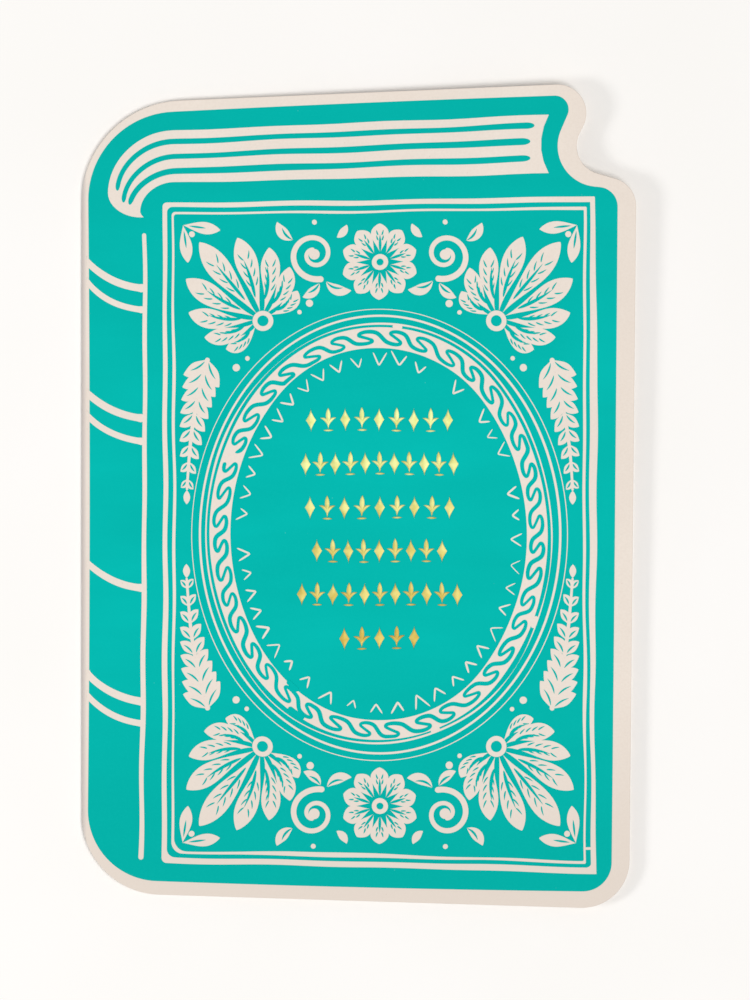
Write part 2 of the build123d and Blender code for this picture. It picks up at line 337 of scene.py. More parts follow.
def leaf_height(plan):
    """The height of the front leaf's outer face above the table, at places (x, y) on the card.

    It climbs evenly from the fold, less the tail's dip times the share of the way to the fore-edge raised to
    the power 1.5, times one less the square of the share of the way from tail to head.
    """
    x, y = plan[..., 0], plan[..., 1]
    way = np.clip((x - leaf_from) / front_reach, 0, 1)
    headwards = np.clip((y - cut_line[:, 1].min()) / np.ptp(cut_line[:, 1]), 0, 1)
    return leaf_start_height + (x - leaf_from) * np.tan(opening) - tail_dip * way**1.5 * (1 - headwards**2)


fore_edge = np.array([[60.7, 60.0], [60.7, -80.0]])
print("fore-edge height at head and tail:", np.round(leaf_height(fore_edge), 2), "mm")

# %% [markdown]
# ## The board
#
# The board is one sheet: a back leaf on the table, a round fold, and the front leaf over it. A solidified
# plane would do for a flat card, but here the faces have to follow the leaf's height. So each leaf is a grid
# of rows, and each row runs from the cut line on one side to the cut line on the other. That works because no
# level line crosses the outline more than twice.

# %% The faces of both leaves
edge_inset = np.array([0.12, 0.06, 0.02, 0.0, 0.0, 0.03, 0.12])
edge_drop = np.array([0.0, 0.02, 0.06, 0.12, 0.36, 0.42, 0.45])
soft_reach = 3.0
sliver = 0.003


def between_edges(loop, from_x=-np.inf, columns=25):
    """Places inside a closed run of points: rows at all the heights of its points, each from edge to edge.

    A row's points divide the way between the left and the right edge evenly. from_x cuts the left edge off.
    """
    loop = np.roll(loop, -int(np.argmin(loop[:, 1])), axis=0)
    top = int(np.argmax(loop[:, 1]))
    right, left = loop[: top + 1], np.vstack([loop[top:], loop[:1]])[::-1]
    rows = np.unique(np.round(np.clip(loop[:, 1], loop[0, 1] + sliver, loop[top, 1] - sliver), 3))
    low = np.maximum(np.interp(rows, left[:, 1], left[:, 0]), from_x)
    high = np.interp(rows, right[:, 1], right[:, 0])
    x = low[:, None] + (high - low)[:, None] * np.linspace(0, 1, columns)
    return together(x, rows[:, None])


def raised(plan, height):
    """Places on the card, each with its height added."""
    return together(plan[..., 0], plan[..., 1], height)


def softness(path):
    """How rounded the edge is along the cut line: it grows evenly from the fold to 3 mm away from it."""
    return np.clip((path[:, 0] - fold_axis) / soft_reach, 0, 1)[:, None]


def back_height(plan):
    """The back leaf's inner face lies one board above the table."""
    return np.full(plan.shape[:-1], board)


soft_line = cut_line - outward(cut_line) * edge_inset[0] * softness(cut_line)
both_leaves = ((leaf_from, leaf_height), (fold_axis, back_height))
board_grids = []
for from_x, height in both_leaves:
    plan = between_edges(soft_line, from_x)
    board_grids += [raised(plan, height(plan))[:, ::-1], raised(plan, height(plan) - board)]
print("points on the leaves' faces:", [grid.shape[0] * grid.shape[1] for grid in board_grids])

# %% [markdown]
# ## The cut edges
#
# A die presses the stock before it parts it, so both rims of a cut edge are a little round. A bevel would
# round them evenly, and it would round the fold's ends as well. Here the edge's profile, an inset and a drop
# for each of its seven points, is carried along the cut line, and it becomes square where the fold begins.

# %% A profile along the cut line
def cut_edge(from_x, height):
    """The cut edge of one leaf: a softened, upright profile carried along the cut line, right of from_x.

    Where the line crosses from_x, a point is put in on the straight way between its neighbours.
    """
    run = np.hstack([cut_line, outward(cut_line)])
    inside = np.flatnonzero(cut_line[:, 0] > from_x)
    ends = []
    for near, beyond in ((inside[0], inside[0] - 1), (inside[-1], (inside[-1] + 1) % len(run))):
        share = (run[near, 0] - from_x) / (run[near, 0] - run[beyond, 0])
        ends.append((1 - share) * run[near] + share * run[beyond])
    run = np.vstack([ends[0], run[inside], ends[1]])
    path, way_out = run[:, :2], run[:, 2:]
    plan = path[:, None] - way_out[:, None] * edge_inset[:, None] * softness(path)[:, None]
    return raised(plan, height(path)[:, None] - edge_drop)


board_grids += [cut_edge(from_x, height) for from_x, height in both_leaves]
print("points on the edges' profile:", len(edge_drop))

# %% [markdown]
# ## The fold
#
# Creased stock bends round a small radius, here about as large inside as the board is thick. A modifier that
# bends would stretch the leaves too, so the fold is drawn by itself: arcs about one axis, cut off at both
# ends by the outline's corners. Two such faces are its outside and its inside, and two small ones close its
# ends.

# %% The fold and the whole board
fold_turn = np.linspace(np.pi / 2 + opening, 1.5 * np.pi, 25)[:, None]
foot_corner = cut_line[:outline_points]
head_corner = cut_line[-2 * outline_points : -outline_points][::-1]


def fold_face(radius, share):
    """Arcs about the fold's axis, at shares of the way between the outline's two left corners.

    x and z are the radius times the cosine and the sine of the turn. Where the corners stand at that x says
    how far an arc reaches along y.
    """
    x, z = fold_axis + radius * np.cos(fold_turn), fold_outside + radius * np.sin(fold_turn)
    foot, head = (np.interp(x, corner[:, 0], corner[:, 1]) for corner in (foot_corner, head_corner))
    return together(x, foot + (head - foot) * share, z)


tail_to_head = np.linspace(0, 1, 60)
through_sheet = np.linspace(fold_inside, fold_outside, 4)
board_grids += [fold_face(fold_outside, tail_to_head), fold_face(fold_inside, tail_to_head)[:, ::-1]]
board_grids += [fold_face(through_sheet, 1)[:, ::-1], fold_face(through_sheet, 0)]
card_board = grid_mesh("card_board", board_grids, stock)

# %% [markdown]
# ## Drawing on the leaf
#
# The drawing looks like a woodcut: cream marks left in a teal field, and finer teal marks inside them. On the
# real card the cream is bare board. Holes in the teal would be true to that, but here each mark is a thin
# sheet over the last, cream over teal and teal over cream, a hair apart. So every mark stays a simple grid.
#
# A cutter's hand is never quite true, so all marks pass through one slow, small shift of their places.

# %% Laying marks on the leaf
ink_lift, cream_lift, detail_lift, foil_lift = 0.03, 0.055, 0.085, 0.11
hair, hair_steps = 0.0008, 37
oval_middle = np.array([4.56, -8.32])


def by_hand(plan, shake=1.0):
    """Each place moved by about a tenth of a mm, by slow waves that cross the card at odd angles.

    Either way, the move is a bold sine whose place is shifted by another sine, and a weaker slanting one.
    """
    x, y = plan[..., 0], plan[..., 1]
    across = 0.09 * np.sin(y / 3.9 + 1.6 * np.sin(x / 11)) + 0.05 * np.sin(x / 2.3 + y / 4.7)
    along = 0.09 * np.sin(x / 4.3 + 1.4 * np.sin(y / 13)) + 0.05 * np.sin(y / 2.1 - x / 5.9)
    return plan + shake * together(across, along)


def lay(name, shapes, lift, material, shake=1.0):
    """Flat shapes, each a grid of places on the card, laid on the front leaf as one piece.

    Where two shapes cross, they can't lie at one height, so each is a hair above the last. After 37 shapes
    that starts again.
    """
    grids, count = [], 0
    for shape in shapes:
        plan = by_hand(np.asarray(shape, float), shake)
        copies = int(np.prod(plan.shape[:-3]))
        hairs = hair * ((count + np.arange(copies)) % hair_steps).reshape(plan.shape[:-3] + (1, 1))
        grids.append(raised(plan, leaf_height(plan) + lift + hairs))
        count += copies
    return grid_mesh(name, grids, material, upwards=True)


def bowed(loop, bows):
    """A rounded outline whose sides bow out by so many mm at their middles, each as a parabola."""
    share = np.linspace(0, 1, outline_points + 2)[1:-1]
    side_bows = np.array(bows)[:, None] * 4 * share * (1 - share)
    arc_bows = np.zeros((len(bows), outline_points))
    return loop + outward(loop) * np.hstack([arc_bows, side_bows]).reshape(-1, 1)


ink_corners = [(-59.37, -84.0), (55.33, -86.74), (56.68, 67.18)]
ink_corners += [(39.46, 69.01), (47.56, 87.8), (-59.27, 83.45)]
ink_radii = (15.53, 6.37, 4.3, 8.91, 3.01, 19.35)
ink_bows = (0.27, 0.06, 0, 0, 0.19, -0.35)
ink_line = bowed(rounded_outline(ink_corners, ink_radii), ink_bows)
ink_plan = between_edges(ink_line)
ink_field = grid_mesh("ink_field", [raised(ink_plan, leaf_height(ink_plan) + ink_lift)], ink, upwards=True)

# %% [markdown]
# ## Strokes
#
# Two marks make almost the whole drawing. The first is a stroke: a line with a width that may change on its
# way, and with round ends. It could be a curve object with a flat bevel, but a bevelled curve folds over
# itself in a sharp bend. As a grid, the stroke can hold its width back there.

# %% Strokes
thinnest = 0.01


def stations(count):
    """Shares from 0 to 1 that stand closer together at both ends, as a half turn seen from its side."""
    return (1 - np.cos(np.linspace(0, np.pi, count))) / 2


def widened(points, half):
    """Lines of points, shaped (..., points, 2), widened to both sides by a half-width at each point.

    On the inner side of a sharp bend the half-width stops just short of the bend's own middle, which is where
    the line's turn for each mm says that it is. Past it, the face would fold over itself.
    """
    step = np.gradient(points, axis=-2)
    length = np.linalg.norm(step, axis=-1)
    heading = step / length[..., None]
    turning = np.gradient(heading, axis=-2)
    bend = (heading[..., 0] * turning[..., 1] - heading[..., 1] * turning[..., 0]) / length
    half = np.maximum(half, thinnest)
    room = 0.9 / np.maximum(abs(bend), 0.001)
    right = np.where(bend < 0, np.minimum(half, room), half)
    left = np.where(bend > 0, np.minimum(half, room), half)
    side = left_of(heading)
    return np.stack([points - side * right[..., None], points + side * left[..., None]], axis=-2)


def stroke(points, width, count=60, taper=1.0):
    """A line's points widened to both sides, with round ends, or pointed ones where taper is more than 1.

    The points are first spread along the line by its length. The half-width is half the width given, one
    number or one for each share of the way, times the height of a half oval near each end, which is as long
    as the half-width times the taper.
    """
    points = np.asarray(points, float)
    reach = np.r_[0, np.cumsum(np.linalg.norm(np.diff(points, axis=0), axis=1))]
    share = stations(count)
    place = together(*[np.interp(share * reach[-1], reach, points[:, axis]) for axis in (0, 1)])
    width = np.interp(share, np.linspace(0, 1, len(np.atleast_1d(width))), np.atleast_1d(width))
    from_end = np.clip(np.minimum(share, 1 - share) * reach[-1] / (width / 2 * taper), 0, 1)
    return widened(place, width / 2 * np.sqrt(1 - (1 - from_end) ** 2))


print("points across and along a stroke:", stroke([(0, 0), (10, 0)], 1.0).shape[1::-1])

# %% [markdown]
# ## Leaves, spots and arcs
#
# The second mark is a leaf, which is fullest past its middle and bends to one side. Modelled by hand, every
# leaf would be a mesh of its own. As a formula, whole rows of leaves come out of one call, each with its own
# length, width and bend. Spots, arcs and ovals are short formulas too.

# %% Leaves, spots, arcs and ovals
def turned(angle):
    """The direction at each angle in degrees: its cosine and its sine."""
    return together(np.cos(np.radians(angle)), np.sin(np.radians(angle)))


def leaves(root, angle, length, width, bend=0.0, fullest=0.62, bluntness=0.8, columns=2, count=26):
    """Leaves, one for each root, each from its root towards its angle in degrees.

    The middle line is a parabola that bends aside by a share of the length. The half-width is half the width
    times a sine of the share of the way, which is warped so that it peaks where the leaf is fullest, and
    raised to the bluntness.
    """
    root = np.asarray(root, float)[..., None, None, :]
    ahead = turned(np.asarray(angle, float))[..., None, None, :]
    length, width, bend = (np.asarray(value, float)[..., None] for value in (length, width, bend))
    share = stations(count)
    warped = share ** (np.log(0.5) / np.log(fullest))
    half = np.maximum(width / 2 * np.sin(np.pi * warped) ** bluntness, thinnest)
    run, aside, slope = length * share, bend * length * 4 * share * (1 - share), bend * 4 * (1 - 2 * share)
    lean = np.hypot(1, slope)
    across = np.linspace(-1, 1, columns)
    forward = run[..., None] - (slope / lean * half)[..., None] * across
    sideways = aside[..., None] + (half / lean)[..., None] * across
    return root + forward[..., None] * ahead + sideways[..., None] * left_of(ahead)


def discs(middles, radius, count=21):
    """Round spots: each row's half-width is the root of the radius squared less the row's height squared."""
    height = radius * np.cos(np.linspace(np.pi, 0, count))[:, None]
    half = np.maximum(np.sqrt(np.maximum(radius**2 - height**2, 0)), thinnest)
    spot = together(half * [-1.0, 1.0], height)
    return np.asarray(middles, float)[..., None, None, :] + spot


def berries(*spots):
    """Single round spots, each given as x, y and radius."""
    return [discs((x, y), radius) for x, y, radius in spots]


def arc(middle, radius, start, end, count=40):
    """Points on a circle from one angle to another, in degrees, or on an oval if the radius is a pair."""
    return np.asarray(middle) + np.asarray(radius) * turned(np.linspace(start, end, count))


def oval(half_width, half_height, angle):
    """Places on an oval about the cover's middle, and the way out there, at angles seen from its middle.

    The reach at an angle is the product of both half-sizes, divided by the length of a pair: the half-height
    times the cosine and the half-width times the sine. The way out is the place with each part divided by the
    square of its own half-size.
    """
    angle = np.asarray(angle, float)
    reach = half_width * half_height / np.hypot(half_height * np.cos(angle), half_width * np.sin(angle))
    place = together(reach * np.cos(angle), reach * np.sin(angle))
    return oval_middle + place, unit(place / np.array([half_width**2, half_height**2]))


print("points across and along a leaf:", leaves((0, 0), 90, 10, 4).shape[-2:-4:-1])

# %% [markdown]
# ## The block of pages
#
# Under the head edge lies the block of pages, seen from its end. It is one cream shape between two lines that
# run side by side: the upper goes along the head, round the curl and the heel, and the lower along the foot
# and round the mouth. A filled curve would give one face of many sides, but a grid between the two lines is
# made of plain ones that follow the leaf. Three teal lines part the pages.

# %% Pages
def beside(upper, lower, columns, hollow=0.0):
    """The face between two lines of as many points, whose rows go straight from one to the other.

    hollow pulls its first rows in, as a parabola across them that fades by the fourth power of what is left
    of the way.
    """
    share = np.linspace(0, 1, columns)[:, None]
    plan = upper[:, None] * (1 - share) + lower[:, None] * share
    fade = np.linspace(1, 0, len(upper))[:, None] ** 4
    plan[..., 0] -= hollow * fade * (1 - (2 * share[:, 0] - 1) ** 2)
    return plan


def line(start, end, count):
    """Points spread evenly between two."""
    share = np.linspace(0, 1, count)[:, None]
    return np.asarray(start, float) * (1 - share) + np.asarray(end, float) * share


block_slope, foot_slope = 90 + 2.3, 90 + 1.3
curl, curl_reach = np.array([-39.45, 66.57]), np.array([15.5, 13.55])
mouth, mouth_reach = np.array([-40.25, 62.32]), np.array([7.5, 6.35])
heel, heel_reach = np.array([-47.45, 66.57]), np.array([7.5, 5.5])
upper = [
    line((41.55, 83.45), curl + curl_reach * turned(block_slope), 24)[:-1],
    arc(curl, curl_reach, block_slope, 180, 24)[:-1],
    arc(heel, heel_reach, 180, 270, 12)[:-1],
    line((-47.45, 61.07), (-47.0, 61.1), 3),
]
inwards = line(0, 1, 14)
lower = [
    line((41.6, 70.56), mouth + mouth_reach * turned(foot_slope), 24)[:-1],
    arc(mouth, mouth_reach, foot_slope, 180, 24)[:-1],
    (-47.75, 62.32) + (0.08, -0.75) * inwards + (0.62, -0.42) * inwards**3,
]
block_face = beside(np.vstack(upper), np.vstack(lower), 6, 1.75)
bends_at = -39.5
page_lines = []
for line_top, slope, bend_reach, line_end, last_turn, widths in (
    (77.7, 2.43, (13.35, 10.8), 38.4, 179.5, (1.4, 1.25, 1.15, 1.17, 1.19, 1.15, 1.15, 1.2, 1.2, 1.1, 1)),
    (74.43, 2.33, (11.95, 10.2), 37.5, 179.4, (1.5, 1.42, 1.39, 1.37, 1.37, 1.26, 1.19, 1.16, 1.15, 1.1, 1)),
    (71.15, 2.03, (10.75, 8.8), 37.6, 170.3, (1.4, 1.37, 1.37, 1.3, 1.28, 1.38, 1.48, 1.47, 1.39, 1.3, 1.15)),
):
    bend_middle = np.array([bends_at, line_top - bend_reach[1]])
    bend_start = bend_middle + bend_reach * turned(90 + slope)
    right_end = bend_start + turned(slope) * (line_end - bend_start[0])
    bend = arc(bend_middle, bend_reach, 90 + slope, last_turn)
    route = np.vstack([line(right_end, bend_start, 40), bend])
    page_lines.append(stroke(route, widths, 120, 2.6))
page_block = lay("page_block", [block_face], cream_lift, stock)
page_line_marks = lay("page_lines", page_lines, detail_lift, ink)

# %% [markdown]
# ## The spine
#
# Left of an upright line is the spine, with its raised bands drawn as arcs that rise to the fold. Where a
# band meets the margin or the line, it flares, because the cutter rounded the corners of the teal between
# them. An arc of one width would miss that, so all bands share one run of widths, scaled for each band.

# %% Spine line and bands
spine_route = [(-46.95, 57.6), (-46.82, 36), (-46.95, 0), (-47.15, -31), (-47.43, -55), (-47.74, -79.8)]
spine_widths = (0.9, 0.95, 0.95, 0.95, 0.97, 1.0, 1.1, 1.1, 1.08, 0.98, 1.12)
band_widths = np.array([1.35, 1.02, 1, 1, 1, 0.99, 0.98, 0.97, 0.95, 0.93, 0.96, 1.2])
bands_middle, line_end_turn, fold_end_turn = -45.5, 266, 217
short_of_fold = 0.15
bands = []
for band_height, band_radius, band_width in (
    (45.4, 19.5, 1.57),
    (40.6, 18.75, 1.31),
    (16.95, 20.5, 1.57),
    (11.8, 19.5, 1.36),
    (-20.2, 20.25, 1.52),
    (-45.2, 18.25, 1.65),
    (-50.0, 18.75, 1.37),
):
    middle = (bands_middle, band_height + band_radius)
    route = arc(middle, band_radius, line_end_turn, fold_end_turn)
    band = stroke(route, band_widths * band_width, 80)
    band[..., 0] = np.maximum(band[..., 0], leaf_from + short_of_fold)
    bands.append(band)
spine_line = stroke(spine_route, spine_widths, 120)
spine_marks = lay("spine_marks", [spine_line, *bands], cream_lift, stock)

# %% [markdown]
# ## The double rule
#
# Two frames run round the cover, a bold one and a fine one. A straight line with one width would look printed
# by a machine. A cutter's line swells and thins and bows a little, so each side has its own widths and bows,
# read at even steps along it. The corners by the spine are a little round, and the two at the fore-edge are
# sharp. At the foot of the fore-edge the knife slipped, and a short bridge joins the two lines.

# %% Rules
arc_points, side_points = 12, 60


def round_the_frame(sides):
    """Values at even steps along each side, filled in for each point of the side and of the arc before it."""
    sides = np.array(sides, float)
    before = np.roll(sides[:, -1:], 1, axis=0)
    arcs = before + (sides[:, :1] - before) * np.linspace(0, 1, arc_points)
    steps = np.linspace(0, 1, sides.shape[1])
    between = np.stack([np.interp(np.linspace(0, 1, side_points), steps, side) for side in sides])
    return np.concatenate([arcs, between], axis=1).reshape(-1, 1)


def frame_rule(corners, widths, bows, outer_radii, inner_radii):
    """A closed frame from corner to corner, with widths and outward bows in mm along each side.

    Two rounded outlines stand half a mm outside and inside the corners' own. Their difference is scaled by
    the width, and their middle is moved out by the bow.
    """
    corners = np.array(corners, float)
    way_out = -left_of(unit(np.roll(corners, -1, axis=0) - corners))
    both_sides = np.stack([np.roll(way_out, 1, axis=0), way_out], axis=1)
    push = np.linalg.solve(both_sides, np.full((4, 2, 1), 0.5))[..., 0]
    outer = rounded_outline(corners + push, outer_radii, arc_points, side_points)
    inner = rounded_outline(corners - push, inner_radii, arc_points, side_points)
    half = (outer - inner) / 2 * round_the_frame(widths)
    middle = (outer + inner) / 2 + outward((outer + inner) / 2) * round_the_frame(bows)
    ring = np.stack([middle + half, middle - half], axis=1)
    return np.concatenate([ring, ring[:1]])


bold_corners = ((-42.65, -79.75), (51.45, -82.05), (51.15, 65.05), (-42.45, 63.75))
bold_widths = (
    (1.3, 1.25, 1.25, 1.22, 1.2, 1.28, 1.36, 1.4, 1.45),
    (1.15, 0.9, 1.0, 1.35, 1.58, 1.7, 1.68, 1.3, 1.05),
    (1.25, 1.18, 1.16, 1.1, 1.02, 1.08, 1.08, 1.1, 0.95),
    (0.98, 0.9, 0.98, 1.07, 1.0, 1.15, 1.22, 1.0, 1.16),
)
bold_bows = (
    (0, -0.13, -0.13, -0.15, 0),
    (0, -0.23, 0, 0.24, 0),
    (0, -0.1, -0.1, -0.1, 0),
    (0, -0.03, -0.22, -0.14, 0),
)
fine_corners = ((-40.75, -78.0), (49.55, -80.15), (49.5, 63.0), (-40.75, 61.95))
fine_widths = (
    (0.5, 0.6, 1.0, 1.07, 0.9, 0.7, 0.5, 0.65, 0.6),
    (0.45, 0.44, 0.83, 0.6, 0.62, 0.66, 0.63, 0.64, 0.64),
    (0.75, 0.6, 0.45, 0.5, 0.5, 0.6, 0.46, 0.5, 0.5),
    (0.45, 0.55, 0.72, 0.62, 0.68, 0.7, 0.5, 0.45, 0.6),
)
fine_bows = (
    (0, -0.29, -0.27, -0.15, 0),
    (0, 0, -0.2, -0.06, 0),
    (0, 0, -0.14, -0.15, 0),
    (0, -0.19, -0.37, -0.11, 0),
)
bold_rule = frame_rule(bold_corners, bold_widths, bold_bows, (1.2, 0.3, 0.3, 0.9), (1.8, 0.9, 0.2, 1.2))
fine_rule = frame_rule(fine_corners, fine_widths, fine_bows, (2.4, 0.3, 0.3, 0.9), (3.0, 0.4, 0.2, 0.5))
slip = stroke([(49.4, -77.1), (51.2, -77.1)], 0.55, 16)
double_rule = lay("double_rule", [bold_rule, fine_rule, slip], cream_lift, stock)

# %% [markdown]
# ## The oval's rings
#
# Three rings and a broad band frame the middle of the cover. Each was cut freehand, so none is a true oval:
# it wanders in and out, swells, and at two places almost ends. A circle that is scaled to an oval would be
# too true, so each ring has its distance and its width given at even steps round the oval, and a smooth line
# is drawn through them.

# %% Rings
def smooth_through(values, stops, at):
    """A smooth line through rows of values that stand at stops, read at other places.

    Between two stops it is a cubic, and its slope at a stop is the one between the stop's two neighbours.
    """
    slopes = np.gradient(values, stops, axis=0)
    left = np.searchsorted(stops, at, side="right") - 1
    gap = (stops[left + 1] - stops[left])[:, None]
    share = (at - stops[left])[:, None] / gap
    near = (1 + 2 * share) * (1 - share) ** 2 * values[left] + share * (1 - share) ** 2 * gap * slopes[left]
    far = share**2 * (3 - 2 * share) * values[left + 1] - share**2 * (1 - share) * gap * slopes[left + 1]
    return near + far


def round_the_oval(values, angle):
    """Values at even steps round the oval, from the fore-edge towards the head, read at any angle."""
    steps = len(values)
    stops = np.arange(-steps, 2 * steps) / steps * 2 * np.pi
    return smooth_through(np.tile(values, 3)[:, None], stops, np.mod(angle, 2 * np.pi))[:, 0]


band_reach = (34.85, 43.05)


def on_band(angle, height):
    """Places at a height out from the middle line of the band, at angles seen from the oval's middle."""
    middle, way_out = oval(*band_reach, angle)
    return middle + way_out * np.asarray(height)[..., None]


def band_stroke(start, end, height, width, count):
    """A short stroke along the band, from one angle in degrees to another."""
    angle = np.radians(np.linspace(start, end, count // 2))
    return stroke(on_band(angle, np.full(len(angle), height)), width, count)


def ring(outer, inner, count=361):
    """A closed ring between two heights out from the band's middle, each at even steps round the oval."""
    angle = np.linspace(0, 2 * np.pi, count)
    high, low = round_the_oval(outer, angle), round_the_oval(inner, angle)
    high = np.maximum(high, low + 2 * thinnest)
    return np.stack([on_band(angle, high), on_band(angle, low)], axis=1)


hairline_middle = np.array([6.29, 6.22, 6.19, 6.3, 6.31, 6.48, 6.58, 6.42])
hairline_width = np.array([0.2, 0.21, 0.17, 0.17, 0.17, 0.2, 0.19, 0.2])
rule_middle = np.array([4.71, 4.73, 4.76, 4.57, 4.51, 4.73, 4.99, 4.81])
rule_width = np.array([0.53, 0.53, 0.46, 0.44, 0.48, 0.45, 0.48, 0.5])
inner_middle = np.array(
    [2.87, 2.7, 2.69, 2.9, 3.29, 3.22, 3.02, 3.1, 3.15, 3.26, 3.28, 3.2]
    + [3.19, 3.18, 3.12, 3.22, 3.55, 3.2, 2.78, 2.75, 3.33, 3.4, 3.05, 3.0]
)
inner_width = np.array(
    [0.34, 0.32, 0.32, 0.45, 0.34, 0.32, 0.45, 0.15, 0.04, 0.25, 0.55, 0.36]
    + [0.31, 0.4, 0.28, 0.14, 0.2, 0.24, 0.44, 0.44, 0.42, 0.04, 0.3, 0.12]
)
band_top = [1.96, 1.84, 1.76, 1.99, 2.4, 2.42, 2.26, 2.38, 2.36, 2.37, 2.35, 2.4]
band_top += [2.42, 2.33, 2.26, 2.4, 2.39, 2.36, 2.03, 2.15, 2.44, 2.2, 2.16, 2.03]
band_foot = [-2.59, -2.66, -2.7, -2.55, -2.2, -2.28, -2.3, -1.97, -1.85, -2.1, -2.15, -2.16]
band_foot += [-2.17, -2.22, -2.2, -2.1, -2.05, -2.08, -2.28, -2.1, -2.0, -2.39, -2.59, -2.55]
rings = [
    ring(middle + width / 2, middle - width / 2)
    for middle, width in (
        (hairline_middle, hairline_width),
        (rule_middle, rule_width),
        (inner_middle, inner_width),
    )
]
bridges = [
    band_stroke(start, end, height, 1.0, 16)
    for start, end, height in ((83.9, 86.5, 2.6), (284.2, 286.8, 2.4), (327.8, 331.8, 2.6))
]
oval_rings = lay("oval_rings", [*rings, ring(band_top, band_foot), *bridges], cream_lift, stock, 0)

# %% [markdown]
# ## The wave in the band
#
# In the band runs the old pattern that is called a running dog: one teal line that hooks back on itself at
# each crest and each trough. No sine does that, because at a hook the line runs backwards. So half a wave is
# drawn through a few points, and the other half is the same turned half round, because the pattern looks the
# same upside down. The line is open at one place, and near the tail the knife ran out through both of the
# band's edges, which two short teal strokes show.

# %% Wave
waves = 40
wave_start, wave_end = 23.5, 63.33
half_wave = np.array(
    [(0, 0), (-0.1, 0.33), (-0.2, 0.74), (-0.18, 1.1), (-0.03, 1.36)]
    + [(0.18, 1.3), (0.34, 0.98), (0.43, 0.52), (0.5, 0)]
)
half_stops = np.array([0, 0.06, 0.13, 0.19, 0.26, 0.34, 0.41, 0.46, 0.5])


def wave_place(way):
    """Where the waving line's middle runs, as waves along the band and mm out from its middle line.

    One wave is the half wave and the same turned half round, and each next wave is that moved on by one.
    """
    points = np.vstack([half_wave, (np.array([1.0, 0.0]) - half_wave[::-1])[1:-1]])
    stops = np.r_[half_stops, (1 - half_stops[::-1])[1:-1]]
    turns = np.arange(np.floor(way.min()) - 1, np.ceil(way.max()) + 2)
    runs = (points + turns[:, None, None] * np.array([1.0, 0.0])).reshape(-1, 2)
    return smooth_through(runs, (turns[:, None] + stops).ravel(), way)


def wave_turn(along):
    """The angle in radians at which so many waves end, clockwise.

    The waves are longest at the oval's sides, by a sine of twice the angle, and stray by a slow sine.
    """
    even = np.radians(4.2 - 360 / waves * along)
    return even + 0.03 * np.sin(2 * even) + 0.008 * np.sin(2.6 * along)


def wave_line_grid(count=2400):
    """The waving line on the leaf: bold in the long strokes, fine where it hooks back, held inside the band.

    The cutter's oval is a little flat towards the fore-edge, where the line runs lower by a bell curve. Its
    lift swings by a sine of the way, so that the two legs of a hook never lie in one another.
    """
    way = np.linspace(wave_start, wave_end, count)
    along, height = wave_place(way).T
    angle = wave_turn(along)
    sideways = np.arctan2(np.sin(angle), np.cos(angle))
    swell = 1 + 0.05 * np.sin(2.9 * way) + 0.03 * np.sin(0.77 * way + 1)
    width = 0.78 - 0.14 * np.cos(2 * np.pi * way) + 0.05 * np.sin(1.7 * way)
    rim = 0.25 + width / 2
    height = height * swell - 0.38 * np.exp(-((sideways / 0.62) ** 2))
    height = np.clip(height, round_the_oval(band_foot, angle) + rim, round_the_oval(band_top, angle) - rim)
    near_end = np.clip(np.minimum((way - wave_start) / 0.1, (wave_end - way) / 0.03), 0, 1)
    plan = by_hand(widened(on_band(angle, height), width / 2 * np.sqrt(1 - (1 - near_end) ** 2)))
    return raised(plan, leaf_height(plan) + detail_lift + 0.012 * np.sin(2 * np.pi * way)[:, None])


wave_line = grid_mesh("wave_line", [wave_line_grid()], ink, upwards=True)
runouts = [band_stroke(237.2, 242.0, -2.1, 1.0, 24), band_stroke(242.8, 248.2, 2.1, 1.15, 24)]
band_runouts = lay("band_runouts", runouts, detail_lift + 0.02, ink, 0)

# %% [markdown]
# ## The chevrons
#
# Inside the band, small chevrons point at the middle of the cover. Each was cut with two strokes of the
# knife, so no two are alike, and a few are missing. Copies of one chevron would all be the same. Here each is
# one line whose height is a softened fold, which falls off evenly to both sides of its tip. The spacing goes
# astray by some degrees on its way round the oval, and chance gives each its length, depth, lean and
# sharpness.

# %% Chevrons
chance = np.random.default_rng(7)
chevrons, missing, chevron_reach = 46, (3, 7, 9, 24), (31.4, 39.6)
even = np.radians(360 / chevrons * np.delete(np.arange(chevrons), missing) - 5.2)
astray = [4.5, 6.6, 7.1, 5.1, 4.0, 2.8, 1.6, 0.0, -2.8, -3.9, -4.3, -3.8]
astray += [-2.8, -2.1, -1.9, -2.2, -2.9, -0.8, 0.0, -1.1, -2.0, -3.2, -2.4, -0.5]
turn = even + np.radians(round_the_oval(astray, even))
each = (len(turn), 1)
middle, way_out = oval(*chevron_reach, turn)
softened = 0.06 + 0.12 * chance.random(each) ** 2
steps = np.linspace(-1, 1, 25)
arm = steps * np.where(steps < 0, 1.35, 1.45)
arm = arm * (1 + 0.14 * chance.normal(size=each)) + 0.1 * chance.normal(size=each)
depth = 2.4 * (1 + 0.08 * chance.normal(size=each))
fall = depth * (1 - (np.hypot(arm / 1.4, softened) - softened))
lean = 0.22 * chance.normal(size=each) * (1 - fall / depth)
sideways = left_of(way_out)[:, None] * (arm - lean)[..., None]
chevron_lines = middle[:, None] + sideways - way_out[:, None] * fall[..., None]
chevron_half = 0.2 * (1 + 0.15 * chance.normal(size=each)) * (1 - steps**6) ** 0.5
chevron_marks = lay("chevrons", [widened(chevron_lines, chevron_half)], cream_lift, stock)

